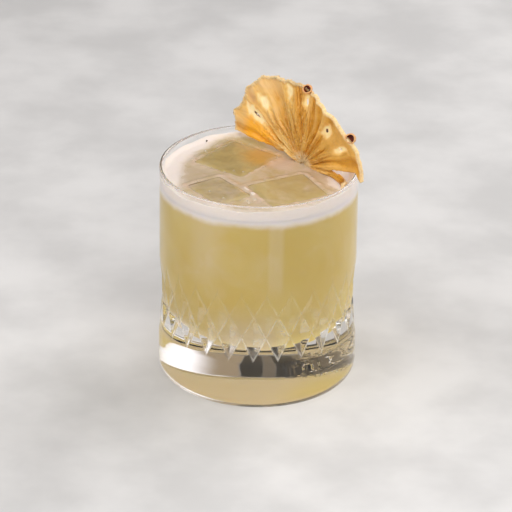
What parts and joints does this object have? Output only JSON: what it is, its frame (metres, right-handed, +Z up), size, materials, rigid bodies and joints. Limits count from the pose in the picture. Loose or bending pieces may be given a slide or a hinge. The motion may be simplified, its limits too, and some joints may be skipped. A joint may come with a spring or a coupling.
{
  "type": "pineapple mezcalita",
  "caption": "Short cloudy pineapple cocktail in a cut glass tumbler, with white foam, ice cubes and half a dried pineapple wheel slotted on the rim.",
  "frame": {"origin": "centre of the tumbler's flat foot, on the surface it stands on", "axes": "+Z up along the tumbler's axis, +X to the right and -Y towards someone facing the drink, with the garnish at the right"},
  "size_m": [0.0864, 0.0846, 0.1295],
  "materials": {
    "tumbler_glass": "clear colourless cut glass, polished",
    "cocktail": "cloudy pale yellow pineapple drink",
    "foam": "fine white foam with a warm tint",
    "ice": "wet melting ice, tinted by the drink under it",
    "dried_pineapple": "dried pineapple, translucent amber with pale eyes and a cream rind edge"
  },
  "bodies": {
    "root": {"tumbler": "tumbler_glass", "cocktail": "cocktail", "foam": "foam", "ice_cube_back": "ice", "ice_cube_left": "ice", "ice_cube_right": "ice", "pineapple_slice": "dried_pineapple"}
  },
  "joints": []
}
